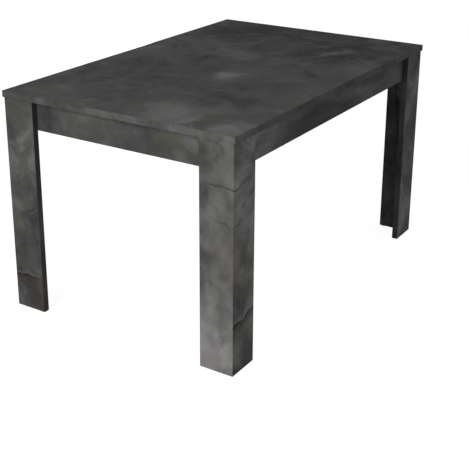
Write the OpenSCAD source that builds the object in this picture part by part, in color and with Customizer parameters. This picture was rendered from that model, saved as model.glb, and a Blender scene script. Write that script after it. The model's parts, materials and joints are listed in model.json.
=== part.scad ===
// Extending dining table with one loose leaf. One end of the frame, with its pair of legs, runs out
// on ball bearing slides. The leaf lies under the top on two ledges until it is laid in the gap.
// X runs along the table, with the sliding end at +X. Y runs across it, and the floor is Z = 0.

/* [Top] */
// Length of the closed table
table_l = 1370; // [1140:10:1700]
// Width of the table
table_w = 900; // [750:10:1080]
// Height of the table
table_h = 780; // [640:5:940]
// Thickness of the top and of the leaf
panel_t = 22; // [18:1:30]
// How far the top stands past the legs at each end
end_overhang = 3; // [1:0.5:20]
// How far the top stands past the legs at each long side
side_overhang = 6; // [2:0.5:20]
// Thickness of the edge banding
band_t = 1; // [0.4:0.1:2]

/* [Legs] */
// Thickness of the leg boards
leg_t = 22; // [18:1:30]
// Width of the leg board that faces the end
leg_end_w = 120; // [100:5:180]
// Width of the leg board that faces the long side
leg_side_w = 120; // [100:5:180]
// Dowels across each mitred corner
mitre_dowel_n = 4; // [2:1:6]
// Diameter of a glide under a leg board
glide_d = 17; // [12:1:18]
// Height of a glide
glide_h = 3; // [2:0.5:6]

/* [Aprons] */
// Height of the aprons
apron_h = 100; // [98:1:130]
// Thickness of the aprons
apron_t = 18; // [15:1:22]
// Width of the cross rail that ties the open ends of the long aprons
cross_rail_w = 40; // [40:1:60]
// Thickness of the cross rail and of the runner tie
rail_t = 18; // [15:1:20]

/* [Extension] */
// Width of the leaf, and travel of the sliding end
leaf_w = 480; // [300:10:490]
// Thickness of the runners
runner_t = 22; // [18:1:30]
// Height of the runners
runner_h = 75; // [62:1:76]
// Length of the runners
runner_l = 800; // [760:10:900]
// Clearance between a moving board and the fixed board that it passes
run_gap = 0.6; // [0.4:0.1:1.2]
// Length of the slides
slide_l = 500; // [500:10:550]
// Thickness of a closed slide
slide_t = 12.7; // [12.7:0.1:15]
// Height of a slide
slide_h = 45; // [45:1:54]
// Locating pins of the leaf
leaf_pin_n = 3; // [2:1:5]
// Diameter of a locating pin
leaf_pin_d = 8; // [6:0.5:10]
// How far a locating pin stands out of the leaf
leaf_pin_out = 10; // [8:1:12]

/* [Fasteners] */
// Shank diameter of the leg bolts
bolt_d = 6; // [5:1:8]
// How far the leg bolts reach into their inserts
bolt_in = 12; // [9:1:13]
// Distance of the leg bolts from the free edge of the leg board
bolt_edge = 30; // [25:1:35]
// Diameter of the wood screws
screw_d = 3.6; // [3:0.1:4.5]
// Length of the wood screws
screw_l = 15; // [12:1:16]
// Leg of the steel angles
angle_w = 30; // [24:1:34]
// Thickness of the steel angles, ledges and strikes
steel_t = 2; // [1.5:0.1:3]
// Diameter of the cams that pull the aprons to the top
cam_d = 15; // [12:1:15]
// Distance from the top of an apron to the middle of its cams
cam_drop = 22; // [20:0.5:24]

/* [Hidden] */
$fn = 48;

// Levels
under = table_h - panel_t;             // underside of the top
run_top = under - run_gap;             // top of everything that slides under it
apron_z = under - apron_h;             // underside of the aprons
runner_z = run_top - runner_h;
tie_z = runner_z - rail_t;
cross_rail_z = tie_z - run_gap;
slide_over_rail = 1;                   // gap between the cross rail and the slides
slide_z = cross_rail_z + rail_t + slide_over_rail + slide_h / 2;
cam_z = under - cam_drop;
ledge_over_tie = 8;                    // room for the runner tie under the ledges
ledge_z = runner_z + ledge_over_tie;
leaf_lift = 0.3;                       // the stored leaf above its ledges
leaf_z = ledge_z + steel_t + leaf_lift;

// Plan, as half lengths from the middle of the table
leg_x = table_l / 2 - end_overhang;
leg_y = table_w / 2 - side_overhang;
apron_x = leg_x - leg_t;
apron_y = leg_y - leg_t;
bay_x = apron_x - apron_t;             // inner faces of the end aprons
bay_y = apron_y - apron_t;             // inner faces of the long aprons
slide_end_gap = 2;                     // slides stop short of the sliding end apron
slide_x = bay_x - slide_end_gap - slide_l;
runner_y = bay_y - slide_t;            // outer faces of the runners
runner_x = bay_x - runner_l;
cross_rail_end_gap = 12;               // room for the lock strikes
cross_rail_x = bay_x - cross_rail_end_gap - cross_rail_w;

// Leaf in its store, turned a quarter turn
leaf_l = table_w;
leaf_end_gap = 2;
leaf_x = leaf_end_gap - bay_x;
leaf_pin_in = 20;
leaf_pin_inset = 150;                  // outer pins from the ends of the leaf
leaf_pin_step = (leaf_l - 2 * leaf_pin_inset) / (leaf_pin_n - 1);
leaf_pin_offsets = [for (i = [0 : leaf_pin_n - 1]) leaf_pin_inset + i * leaf_pin_step - leaf_l / 2];
socket_wall = 1;
socket_end_room = 4;                   // past the tip of a pin
socket_l = leaf_pin_out + socket_end_room;
socket_play = 0.2;
ledge_play = 2;                        // between the pin tips and the web of a ledge
ledge_y = leaf_w / 2 + leaf_pin_out + ledge_play;
ledge_hold = 14;                       // how far a ledge reaches under the leaf
ledge_w = ledge_play + leaf_pin_out + ledge_hold;
ledge_flange = 24;
ledge_open = 102;                      // ledges stop short of the sliding end apron
ledge_l = 2 * bay_x - leaf_end_gap - ledge_open;
ledge_end = 60;                        // outer screws from the ends of a ledge
ledge_screw_n = 4;

// Fits
dowel_play = 0.1;
hole_play = 0.05;
nail_d = 2.4;
nail_l = 16;
nail_root = 1;                         // nail inside the head of its glide
glide_mitre_gap = 2;                   // glide from the inner corner of the mitre
glide_edge_gap = 6;                    // glides from the free edges
mitre_dowel_d = 6;
mitre_dowel_l = 20;
mitre_dowel_low = 70;
mitre_dowel_high = 60;                 // top dowel below the underside of the top
apron_dowel_d = 8;
apron_dowel_l = 32;
apron_dowel_in_leg = 12;
apron_dowel_drops = [36, 68];
bolt_l = apron_t + bolt_in;             // under the head
bolt_head_d = 13;
bolt_head_h = 3;
bolt_drops = [30, 70];                 // leg bolts below the underside of the top
insert_wall = 1.5;
insert_l = 13;
runner_bolt_l = 58;
runner_bolt_spread = 36;
barrel_d = 10;
barrel_l = 14;
barrel_back = 12;                      // barrel nut behind the end of its bolt
screw_head_d = 7;
slide_screw_head_d = 6;
screw_tip = 3;
screw_point_d = 0.6;
screw_recess = 3.6;
screw_recess_t = 0.8;
recess_depth = 1;
hex_d = 4.6;
hex_depth = 2;
tie_screw_l = 45;
tie_screw_shares = [0.25, 0.75];       // screw places across the tie
screw_spacing_end = 45;                // slide screws from the ends of a slide
angle_h = 60;
angle_drop = 80;
angle_screw_in = 0.6;                  // screw place along the flange, as a share of it
rail_angle_h = 16;
cam_bolt_d = 5.8;
cam_bolt_up = 12;                      // cam bolt inside the top
cam_floor = 1.2;
cam_bolt_low = 1.5;                    // lower end of the bolt above the middle of its cam
cam_slot_w = 6.4;
cam_recess = 7;
cam_recess_t = 1.2;
cam_h = apron_t / 2 + cam_bolt_d / 2 + cam_floor;
cam_play = 0.1;
cam_n = 5;
cam_end = 100;                         // outer cams from the end aprons
end_cam_y = 160;

// Slide section, u from the apron inwards and v from the slide's middle
sheet = 1.2;
ball_d = 4;
ball_gap = 0.1;
channel_gap = 1;                       // between the webs of nested members
lip_w = 1.4;
outer_depth = 9.6;
inner_web_room = 2.3;                  // from the middle member's lips to the back of the slide
mid_depth = slide_t - inner_web_room;
inner_back = slide_t - sheet;
outer_v = slide_h / 2;
outer_ball_v = outer_v - sheet - ball_gap - ball_d / 2;
mid_v = outer_ball_v - ball_d / 2 - ball_gap;
inner_ball_v = mid_v - sheet - ball_gap - ball_d / 2;
inner_v = inner_ball_v - ball_d / 2 - ball_gap;
mid_u = sheet + channel_gap;
outer_ball_in = 2.8;                   // balls and inner member from the middle member's web
inner_ball_in = 4.6;
inner_in = 2.4;
outer_ball_u = mid_u + outer_ball_in;
inner_ball_u = mid_u + inner_ball_in;
inner_u = mid_u + inner_in;
cage_t = 0.5;
cage_gap = 0.25;
cage_margin = 60;
cage_l = slide_l - leaf_w / 2 - cage_margin;
cage_x = slide_x + (slide_l - cage_l) / 2;
cage_bridge = 10;
cage_ball_n = 8;
outer_cage_edge = 0.5;                 // strip past the balls
outer_cage_w = outer_ball_u - sheet - cage_gap + ball_d / 2 + outer_cage_edge;
inner_cage_w = inner_ball_u - mid_u - sheet - cage_gap + ball_d / 2;

// Lock
lock_y = 150;                          // locks from the middle of the table
lock_pin_d = 5;
lock_pin_in = 9;                       // strike pins from the sliding end apron
lock_pin_x = bay_x - lock_pin_in;
lock_pin_play = 0.4;
lock_r = 24;                           // from the pivot to the strike's pin
lock_tip = 3.4;
lock_arm_w = 18;
lock_handle_w = 11;
lock_handle_l = 34;
lock_t = 3;
lock_gap = 0.4;
lock_z = cross_rail_z - lock_gap - lock_t;
lock_pivot_d = 6;
lock_head_d = 10;
lock_head_h = 1.6;
lock_x = lock_pin_x - lock_r;
lock_run = 0.05;                       // running clearance of the hook on its pivot
strike_w = 30;
strike_h = 25;
strike_reach = 11;
strike_z = tie_z;
strike_screw_y = 9;
strike_screw_up = 16;
lock_thread_d = 4;
lock_thread_l = 12;

// ---- helpers ----

module both_sides() {
    children();
    mirror([0, 1, 0]) children();
}

module flip_x(flip) {
    if (flip) mirror([1, 0, 0]) children();
    else children();
}

module flip_y(flip) {
    if (flip) mirror([0, 1, 0]) children();
    else children();
}

// Puts what is drawn for the front corner of the fixed end at any corner of the table
module corner(sliding, rear) {
    flip_x(sliding) flip_y(rear)
        translate([-leg_x, -leg_y - (sliding ? run_gap : 0), 0]) children();
}

// Turns what is drawn for the end board of a leg onto its side board
module onto_side_board() {
    mirror([1, -1, 0]) children();
}

// Extrudes a (y, z) outline along X
module along_x(l) {
    rotate([90, 0, 90]) linear_extrude(l) children();
}

// Wood screw with a flat head at Z = 0 and its point down
module wood_screw(head_d = screw_head_d, head_h = steel_t, play = 0) {
    translate([0, 0, -head_h]) cylinder(d1 = screw_d + 2 * play, d2 = head_d + 2 * play, h = head_h);
    translate([0, 0, screw_tip - screw_l])
        cylinder(d = screw_d + 2 * play, h = screw_l - screw_tip - head_h);
    translate([0, 0, -screw_l]) cylinder(d1 = screw_point_d, d2 = screw_d + 2 * play, h = screw_tip);
}

// Cross-shaped driver recess in a face at Z = 0 whose outside is +Z
module cross_recess(w, t) {
    for (a = [0, 90])
        rotate(a) translate([-w / 2, -t / 2, -recess_depth]) cube([w, t, recess_depth + 1]);
}

module recessed_screw(head_d, head_h) {
    difference() {
        wood_screw(head_d, head_h);
        cross_recess(screw_recess, screw_recess_t);
    }
}

// ---- places shared by fasteners and their holes ----

module mitre_dowel(play = 0) {
    step = (under - mitre_dowel_high - mitre_dowel_low) / (mitre_dowel_n - 1);
    for (i = [0 : mitre_dowel_n - 1])
        translate([leg_t / 2, leg_t / 2, mitre_dowel_low + i * step])
            rotate([0, 90, -45])
                cylinder(d = mitre_dowel_d + 2 * play, h = mitre_dowel_l + 2 * play, center = true);
}

// Dowels between the end of the sliding apron and a side board of a leg
module apron_dowel(play = 0) {
    for (drop = apron_dowel_drops)
        translate([leg_t + apron_t / 2, leg_t - apron_dowel_in_leg - play, under - drop])
            rotate([-90, 0, 0]) cylinder(d = apron_dowel_d + 2 * play, h = apron_dowel_l + 2 * play);
}

module end_glide_places() {
    for (y = [leg_t + glide_mitre_gap + glide_d / 2, leg_end_w - glide_edge_gap - glide_d / 2])
        translate([leg_t / 2, y, 0]) children();
}

module side_glide_places() {
    translate([leg_side_w - glide_edge_gap - glide_d / 2, leg_t / 2, 0]) children();
}

module bolt_places(board_w) {
    for (drop = bolt_drops)
        translate([leg_t, board_w - bolt_edge, under - drop]) rotate([0, 90, 0]) children();
}

module runner_bolt_places() {
    mid_z = runner_z + runner_h / 2;
    both_sides()
        for (dz = [-1, 1])
            translate([apron_x, -runner_y + runner_t / 2, mid_z + dz * runner_bolt_spread / 2])
                rotate([0, -90, 0]) children();
}

module tie_screw_places() {
    both_sides()
        for (k = tie_screw_shares)
            translate([runner_x + k * cross_rail_w, -runner_y + runner_t / 2, tie_z])
                rotate([180, 0, 0]) children();
}

module cam_places() {
    span = 2 * (bay_x - cam_end);
    both_sides()
        for (i = [0 : cam_n - 1])
            translate([-span / 2 + i * span / (cam_n - 1), -bay_y, cam_z]) rotate([90, 0, 0]) children();
    for (y = [-end_cam_y, end_cam_y]) translate([-bay_x, y, cam_z]) rotate([90, 0, -90]) children();
}

module frame_angle_places() {
    both_sides() translate([-bay_x, -bay_y, under - angle_drop]) children();
}

module rail_angle_places() {
    both_sides()
        translate([cross_rail_x, -bay_y, cross_rail_z + (rail_t - rail_angle_h) / 2])
            mirror([1, 0, 0]) children();
}

module angle_screw_places(rows) {
    for (z = rows) {
        translate([angle_w * angle_screw_in, steel_t, z]) rotate([-90, 0, 0]) children();
        translate([steel_t, angle_w * angle_screw_in, z]) rotate([0, 90, 0]) children();
    }
}

frame_angle_rows = [angle_h / 4, angle_h * 3 / 4];
rail_angle_rows = [rail_angle_h / 2];

module ledge_screw_places() {
    step = (ledge_l - 2 * ledge_end) / (ledge_screw_n - 1);
    y = -ledge_y - steel_t - ledge_flange / 2;
    both_sides()
        for (i = [0 : ledge_screw_n - 1])
            translate([leaf_x + ledge_end + i * step, y, under - steel_t])
                rotate([180, 0, 0]) children();
}

module slide_screw_places() {
    for (x = [slide_x + screw_spacing_end, slide_x + slide_l / 2, slide_x + slide_l - screw_spacing_end])
        translate([x, 0, slide_z]) children();
}

module outer_screw_places() {
    both_sides() slide_screw_places() translate([0, -bay_y + sheet, 0]) rotate([-90, 0, 0]) children();
}

module inner_screw_places() {
    both_sides() slide_screw_places() translate([0, -bay_y + inner_back, 0]) rotate([90, 0, 0]) children();
}

module socket_places() {
    for (y = leaf_pin_offsets)
        translate([table_l / 2 - socket_l, y, table_h - panel_t / 2]) rotate([0, 90, 0]) children();
}

module leaf_pin_places() {
    for (x = leaf_pin_offsets)
        translate([leaf_x + leaf_l / 2 + x, -leaf_w / 2 - leaf_pin_out, leaf_z + panel_t / 2])
            rotate([-90, 0, 0]) children();
}

module lock_places() {
    for (y = [-lock_y, lock_y]) translate([lock_x, y, 0]) children();
}

module strike_screw_places() {
    for (y = [-lock_y, lock_y], dy = [-strike_screw_y, strike_screw_y])
        translate([bay_x - steel_t, y + dy, strike_z + strike_screw_up]) rotate([0, -90, 0]) children();
}

// ---- parts that make a hole where they sit ----

module cam(play = 0) {
    cylinder(d = cam_d + 2 * play, h = cam_h + play);
}

module cam_bolt(play = 0) {
    translate([0, cam_bolt_low, apron_t / 2]) rotate([-90, 0, 0])
        cylinder(d = cam_bolt_d + 2 * play, h = cam_drop + cam_bolt_up + play - cam_bolt_low);
}

module socket(play = 0) {
    cylinder(d = leaf_pin_d + 2 * (socket_play + socket_wall + play), h = socket_l);
}

module leaf_pin(play = 0) {
    cylinder(d = leaf_pin_d + 2 * play, h = leaf_pin_out + leaf_pin_in + play);
}

// Leg bolt along Z, from the inner face of the leg board to its head behind the apron
module leg_bolt(play = 0) {
    translate([0, 0, apron_t - bolt_l - play]) cylinder(d = bolt_d + 2 * play, h = bolt_l + 2 * play);
    translate([0, 0, apron_t]) cylinder(d = bolt_head_d, h = bolt_head_h);
}

module insert(play = 0) {
    translate([0, 0, -insert_l]) cylinder(d = bolt_d + 2 * (hole_play + insert_wall + play), h = insert_l);
}

// Runner bolt along Z, from its flush head in the face of the sliding apron into the runner
module runner_bolt(play = 0) {
    cylinder(d = bolt_d + 2 * play, h = runner_bolt_l + play);
    cylinder(d = bolt_head_d + 2 * play, h = bolt_head_h);
}

module runner_barrel(play = 0) {
    translate([0, 0, runner_bolt_l - barrel_back]) rotate([90, 0, 0])
        cylinder(d = barrel_d + 2 * play, h = barrel_l + 2 * play, center = true);
}

module glide_nail(play = 0) {
    translate([0, 0, glide_h - nail_root])
        cylinder(d = nail_d + 2 * play, h = nail_l + nail_root + play);
}

module angle_screw_cuts() {
    frame_angle_places() angle_screw_places(frame_angle_rows) wood_screw(play = hole_play);
    rail_angle_places() angle_screw_places(rail_angle_rows) wood_screw(play = hole_play);
}

module slide_screw(play = 0) {
    wood_screw(slide_screw_head_d, sheet, play);
}

// ---- top ----

module top_panel() {
    color("#55534d")
        difference() {
            translate([band_t - table_l / 2, band_t - table_w / 2, under])
                cube([table_l - 2 * band_t, table_w - 2 * band_t, panel_t]);
            cam_places() cam_bolt(hole_play);
            ledge_screw_places() wood_screw(play = hole_play);
            socket_places() socket(hole_play);
        }
}

// Frame of edge banding around a panel with its corner at the origin
module band_frame(l, w) {
    difference() {
        cube([l, w, panel_t]);
        translate([band_t, band_t, -1]) cube([l - 2 * band_t, w - 2 * band_t, panel_t + 2]);
    }
}

module top_edge_band() {
    color("#4a4843")
        difference() {
            translate([-table_l / 2, -table_w / 2, under]) band_frame(table_l, table_w);
            socket_places() socket(hole_play);
        }
}

module leaf_pin_sockets() {
    color("#1c1c1c")
        socket_places()
            difference() {
                socket();
                translate([0, 0, socket_wall]) cylinder(d = leaf_pin_d + 2 * socket_play, h = socket_l);
            }
}

// ---- legs ----

// End board of a leg, with the outer corner of the leg at the origin
module leg_end_board(top, board_w = leg_end_w) {
    difference() {
        translate([0, 0, glide_h])
            linear_extrude(top - glide_h)
                polygon([[0, 0], [leg_t, leg_t], [leg_t, board_w - band_t], [0, board_w - band_t]]);
        mitre_dowel(dowel_play);
        children();
    }
}

module leg_side_board(top) {
    difference() {
        onto_side_board() leg_end_board(top, leg_side_w);
        children();
    }
}

module leg_band(top, board_w) {
    translate([0, board_w - band_t, glide_h]) cube([leg_t, band_t, top - glide_h]);
}

module fixed_end_board(rear) {
    color("#5b5952")
        corner(false, rear)
            leg_end_board(under) {
                bolt_places(leg_end_w) insert(hole_play);
                end_glide_places() glide_nail(hole_play);
            }
}

module fixed_side_board(rear) {
    color("#504e48")
        corner(false, rear)
            leg_side_board(under) {
                onto_side_board() bolt_places(leg_side_w) insert(hole_play);
                side_glide_places() glide_nail(hole_play);
            }
}

module sliding_end_board(rear) {
    color("#5b5952")
        corner(true, rear)
            leg_end_board(run_top) {
                bolt_places(leg_end_w) insert(hole_play);
                end_glide_places() glide_nail(hole_play);
            }
}

module sliding_side_board(rear) {
    color("#504e48")
        corner(true, rear)
            leg_side_board(run_top) {
                apron_dowel(dowel_play);
                side_glide_places() glide_nail(hole_play);
            }
}

module fixed_front_leg_end_board() { fixed_end_board(false); }
module fixed_rear_leg_end_board() { fixed_end_board(true); }
module fixed_front_leg_side_board() { fixed_side_board(false); }
module fixed_rear_leg_side_board() { fixed_side_board(true); }
module sliding_front_leg_end_board() { sliding_end_board(false); }
module sliding_rear_leg_end_board() { sliding_end_board(true); }
module sliding_front_leg_side_board() { sliding_side_board(false); }
module sliding_rear_leg_side_board() { sliding_side_board(true); }

module leg_bands(sliding, top) {
    color("#66635b")
        for (rear = [false, true])
            corner(sliding, rear) {
                leg_band(top, leg_end_w);
                onto_side_board() leg_band(top, leg_side_w);
            }
}

module fixed_leg_edge_bands() { leg_bands(false, under); }
module sliding_leg_edge_bands() { leg_bands(true, run_top); }

module fixed_leg_dowels() {
    color("burlywood")
        for (rear = [false, true])
            corner(false, rear) mitre_dowel();
}

module sliding_leg_dowels() {
    color("burlywood")
        for (rear = [false, true])
            corner(true, rear) {
                mitre_dowel();
                apron_dowel();
            }
}

// Nylon glide with a round lower edge and its nail
module glide() {
    edge = 1;
    rotate_extrude()
        union() {
            translate([0, edge]) square([glide_d / 2, glide_h - edge]);
            polygon([[0, 0], [glide_d / 2 - edge, 0], [glide_d / 2, edge], [0, edge]]);
        }
    glide_nail();
}

module glides(sliding) {
    color("#222222")
        for (rear = [false, true])
            corner(sliding, rear) {
                end_glide_places() glide();
                side_glide_places() glide();
            }
}

module fixed_leg_glides() { glides(false); }
module sliding_leg_glides() { glides(true); }

module fixed_bolt_places(rear) {
    corner(false, rear) {
        bolt_places(leg_end_w) children();
        onto_side_board() bolt_places(leg_side_w) children();
    }
}

module sliding_bolt_places(rear) {
    corner(true, rear) bolt_places(leg_end_w) children();
}

// Bolt with a hexagon socket in its low head
module socket_bolt() {
    difference() {
        leg_bolt();
        translate([0, 0, apron_t + bolt_head_h - hex_depth])
            cylinder(d = hex_d, h = hex_depth + 1, $fn = 6);
    }
}

module threaded_insert() {
    difference() {
        insert();
        translate([0, 0, -insert_l - 1]) cylinder(d = bolt_d + 2 * hole_play, h = insert_l + 2);
    }
}

module fixed_leg_bolts() {
    color("silver")
        for (rear = [false, true])
            fixed_bolt_places(rear) socket_bolt();
}

module sliding_leg_bolts() {
    color("silver")
        for (rear = [false, true])
            sliding_bolt_places(rear) socket_bolt();
}

module fixed_leg_inserts() {
    color("goldenrod")
        for (rear = [false, true])
            fixed_bolt_places(rear) threaded_insert();
}

module sliding_leg_inserts() {
    color("goldenrod")
        for (rear = [false, true])
            sliding_bolt_places(rear) threaded_insert();
}

// ---- fixed frame ----

module fixed_cuts() {
    for (rear = [false, true])
        fixed_bolt_places(rear) leg_bolt(hole_play);
    cam_places() {
        cam(cam_play);
        cam_bolt(hole_play);
    }
    angle_screw_cuts();
    outer_screw_places() slide_screw(hole_play);
}

module fixed_end_apron() {
    color("#5b5952")
        difference() {
            translate([-apron_x, -apron_y, apron_z + band_t])
                cube([apron_t, 2 * apron_y, apron_h - band_t]);
            fixed_cuts();
        }
}

module long_apron() {
    difference() {
        translate([-bay_x, -apron_y, apron_z + band_t])
            cube([2 * bay_x - run_gap, apron_t, apron_h - band_t]);
        fixed_cuts();
    }
}

module front_apron() { color("#4c4a45") long_apron(); }
module rear_apron() { color("#4c4a45") mirror([0, 1, 0]) long_apron(); }

module fixed_end_apron_edge_band() {
    color("#66635b") translate([-apron_x, -apron_y, apron_z]) cube([apron_t, 2 * apron_y, band_t]);
}

module long_apron_edge_bands() {
    color("#66635b")
        both_sides()
            translate([-bay_x, -apron_y, apron_z]) cube([2 * bay_x - run_gap, apron_t, band_t]);
}

module cross_rail() {
    color("burlywood")
        difference() {
            translate([cross_rail_x, -bay_y, cross_rail_z]) cube([cross_rail_w, 2 * bay_y, rail_t]);
            angle_screw_cuts();
            lock_places() lock_pivot(hole_play);
        }
}

module steel_angle(h, rows) {
    difference() {
        linear_extrude(h)
            polygon([[0, 0], [angle_w, 0], [angle_w, steel_t],
                [steel_t, steel_t], [steel_t, angle_w], [0, angle_w]]);
        angle_screw_places(rows) wood_screw(play = hole_play);
    }
}

module frame_angles() {
    color("silver") {
        frame_angle_places() steel_angle(angle_h, frame_angle_rows);
        rail_angle_places() steel_angle(rail_angle_h, rail_angle_rows);
    }
}

module frame_screws() {
    color("gainsboro") {
        frame_angle_places() angle_screw_places(frame_angle_rows) recessed_screw(screw_head_d, steel_t);
        rail_angle_places() angle_screw_places(rail_angle_rows) recessed_screw(screw_head_d, steel_t);
    }
}

module top_cams() {
    color("silver")
        cam_places()
            difference() {
                cam();
                translate([-cam_slot_w / 2, 0, apron_t / 2 - cam_slot_w / 2])
                    cube([cam_slot_w, cam_d, cam_slot_w]);
                cross_recess(cam_recess, cam_recess_t);
            }
}

module top_cam_bolts() {
    color("gainsboro") cam_places() cam_bolt();
}

// ---- leaf store ----

module leaf_ledges() {
    drop = under - ledge_z;
    color("silver")
        difference() {
            both_sides()
                translate([leaf_x, 0, 0])
                    along_x(ledge_l)
                        translate([-ledge_y, ledge_z])
                            polygon([[ledge_w, 0], [ledge_w, steel_t], [0, steel_t], [0, drop],
                                [-steel_t - ledge_flange, drop], [-steel_t - ledge_flange, drop - steel_t],
                                [-steel_t, drop - steel_t], [-steel_t, 0]]);
            ledge_screw_places() wood_screw(play = hole_play);
        }
}

module leaf_ledge_screws() {
    color("gainsboro") ledge_screw_places() recessed_screw(screw_head_d, steel_t);
}

// ---- slides ----

// C section open to +X in the outline plane: web at u, depth d, half height v
module channel(u, d, v, lip) {
    for (s = [-1, 1]) {
        translate([u, s > 0 ? v - sheet : -v]) square([d, sheet]);
        if (lip > 0) translate([u + d - sheet, s > 0 ? v - sheet - lip : -v + sheet]) square([sheet, lip]);
    }
    translate([u, -v]) square([sheet, 2 * v]);
}

// Places a slide outline on the inner face of the front apron
module slide_section(x, l) {
    translate([x, -bay_y, slide_z]) along_x(l) children();
}

module outer_member() {
    difference() {
        slide_section(slide_x, slide_l) channel(0, outer_depth, outer_v, lip_w);
        outer_screw_places() slide_screw(hole_play);
    }
}

module middle_member() {
    slide_section(slide_x, slide_l) channel(mid_u, mid_depth - mid_u, mid_v, lip_w);
}

module inner_member() {
    difference() {
        slide_section(slide_x, slide_l)
            translate([slide_t + inner_u, 0]) mirror([1, 0])
                channel(inner_u, slide_t - inner_u, inner_v, 0);
        inner_screw_places() slide_screw(hole_play);
    }
}

// Ball cage with its balls, between two members of a slide
module ball_cage(ball_u, ball_v, back_u, strip_w) {
    pitch = cage_l / cage_ball_n;
    xs = [for (i = [0 : cage_ball_n - 1]) cage_x + (i + 0.5) * pitch];
    difference() {
        slide_section(cage_x, cage_l)
            for (s = [-1, 1]) translate([back_u, s * ball_v - cage_t / 2]) square([strip_w, cage_t]);
        for (x = xs)
            translate([x, ball_u - bay_y, slide_z])
                cylinder(d = ball_d + 2 * ball_gap, h = slide_h, center = true);
    }
    slide_section(cage_x, cage_bridge)
        translate([back_u, -ball_v - cage_t / 2]) square([cage_t, 2 * ball_v + cage_t]);
    for (x = xs, s = [-1, 1]) translate([x, ball_u - bay_y, slide_z + s * ball_v]) sphere(d = ball_d);
}

module outer_cage() {
    ball_cage(outer_ball_u, outer_ball_v, sheet + cage_gap, outer_cage_w);
}

module inner_cage() {
    ball_cage(inner_ball_u, inner_ball_v, mid_u + sheet + cage_gap, inner_cage_w);
}

module slide_outer_members() { color("silver") both_sides() outer_member(); }
module slide_inner_members() { color("silver") both_sides() inner_member(); }
module slide_outer_screws() {
    color("gainsboro") outer_screw_places() recessed_screw(slide_screw_head_d, sheet);
}
module slide_inner_screws() {
    color("gainsboro") inner_screw_places() recessed_screw(slide_screw_head_d, sheet);
}
module front_slide_middle_member() { color("silver") middle_member(); }
module rear_slide_middle_member() { color("silver") mirror([0, 1, 0]) middle_member(); }
module front_outer_ball_cage() { color("dimgray") outer_cage(); }
module rear_outer_ball_cage() { color("dimgray") mirror([0, 1, 0]) outer_cage(); }
module front_inner_ball_cage() { color("dimgray") inner_cage(); }
module rear_inner_ball_cage() { color("dimgray") mirror([0, 1, 0]) inner_cage(); }

// ---- sliding frame ----

module sliding_cuts() {
    for (rear = [false, true]) {
        sliding_bolt_places(rear) leg_bolt(hole_play);
        corner(true, rear) apron_dowel(dowel_play);
    }
    runner_bolt_places() {
        runner_bolt(hole_play);
        runner_barrel(hole_play);
    }
    strike_screw_places() wood_screw(play = hole_play);
}

module sliding_end_apron() {
    color("#5b5952")
        difference() {
            translate([bay_x, -apron_y - run_gap, apron_z + band_t])
                cube([apron_t, 2 * (apron_y + run_gap), apron_h - run_gap - band_t]);
            sliding_cuts();
        }
}

module sliding_apron_edge_band() {
    color("#66635b")
        translate([bay_x, -apron_y - run_gap, apron_z]) cube([apron_t, 2 * (apron_y + run_gap), band_t]);
}

module runner() {
    difference() {
        translate([runner_x, -runner_y, runner_z]) cube([runner_l, runner_t, runner_h]);
        sliding_cuts();
        tie_screw_places() tie_screw(hole_play);
        inner_screw_places() slide_screw(hole_play);
    }
}

module front_runner() { color("burlywood") runner(); }
module rear_runner() { color("burlywood") mirror([0, 1, 0]) runner(); }

module tie_screw(play = 0) {
    translate([0, 0, -tie_screw_l]) cylinder(d = screw_d + 2 * play, h = tie_screw_l);
    translate([0, 0, -steel_t])
        cylinder(d1 = screw_d + 2 * play, d2 = screw_head_d + 2 * play, h = steel_t);
}

module runner_tie() {
    color("burlywood")
        difference() {
            translate([runner_x, -runner_y, tie_z]) cube([cross_rail_w, 2 * runner_y, rail_t]);
            tie_screw_places() tie_screw(hole_play);
        }
}

module runner_tie_screws() {
    color("gainsboro")
        tie_screw_places()
            difference() {
                tie_screw();
                cross_recess(screw_recess, screw_recess_t);
            }
}

module runner_bolts() {
    color("silver")
        runner_bolt_places()
            difference() {
                runner_bolt();
                translate([0, 0, -1]) cylinder(d = hex_d, h = hex_depth + 1, $fn = 6);
            }
}

module runner_barrel_nuts() {
    color("silver")
        runner_bolt_places()
            difference() {
                runner_barrel();
                runner_bolt(hole_play);
            }
}

// ---- leaf ----

module leaf_panel() {
    color("#55534d")
        difference() {
            translate([leaf_x + band_t, band_t - leaf_w / 2, leaf_z])
                cube([leaf_l - 2 * band_t, leaf_w - 2 * band_t, panel_t]);
            leaf_pin_places() leaf_pin(hole_play);
        }
}

module leaf_edge_band() {
    color("#4a4843")
        difference() {
            translate([leaf_x, -leaf_w / 2, leaf_z]) band_frame(leaf_l, leaf_w);
            leaf_pin_places() leaf_pin(hole_play);
        }
}

module leaf_pins() {
    color("#1c1c1c") leaf_pin_places() leaf_pin();
}

// ---- locks ----

// Hook with a curved slot about its pivot, drawn pointing along +X
module lock_outline() {
    slot_w = lock_pin_d + 2 * lock_pin_play;
    tip = lock_r + slot_w / 2 + lock_tip;
    difference() {
        union() {
            translate([0, -lock_arm_w / 2]) square([tip, lock_arm_w]);
            circle(d = lock_arm_w);
            translate([-lock_handle_l, -lock_handle_w / 2]) square([lock_handle_l, lock_handle_w]);
            translate([-lock_handle_l, 0]) circle(d = lock_handle_w);
        }
        circle(d = lock_pivot_d + 2 * lock_run);
        translate([lock_r, 0]) circle(d = slot_w);
        intersection() {
            difference() {
                circle(r = lock_r + slot_w / 2);
                circle(r = lock_r - slot_w / 2);
            }
            square([tip + 1, lock_arm_w]);
        }
    }
}

module lock_hook() {
    color("silver")
        translate([lock_x, lock_y, lock_z]) linear_extrude(lock_t) rotate(-90) lock_outline();
}

module front_lock_hook() { translate([0, -2 * lock_y, 0]) lock_hook(); }
module rear_lock_hook() { lock_hook(); }

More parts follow.
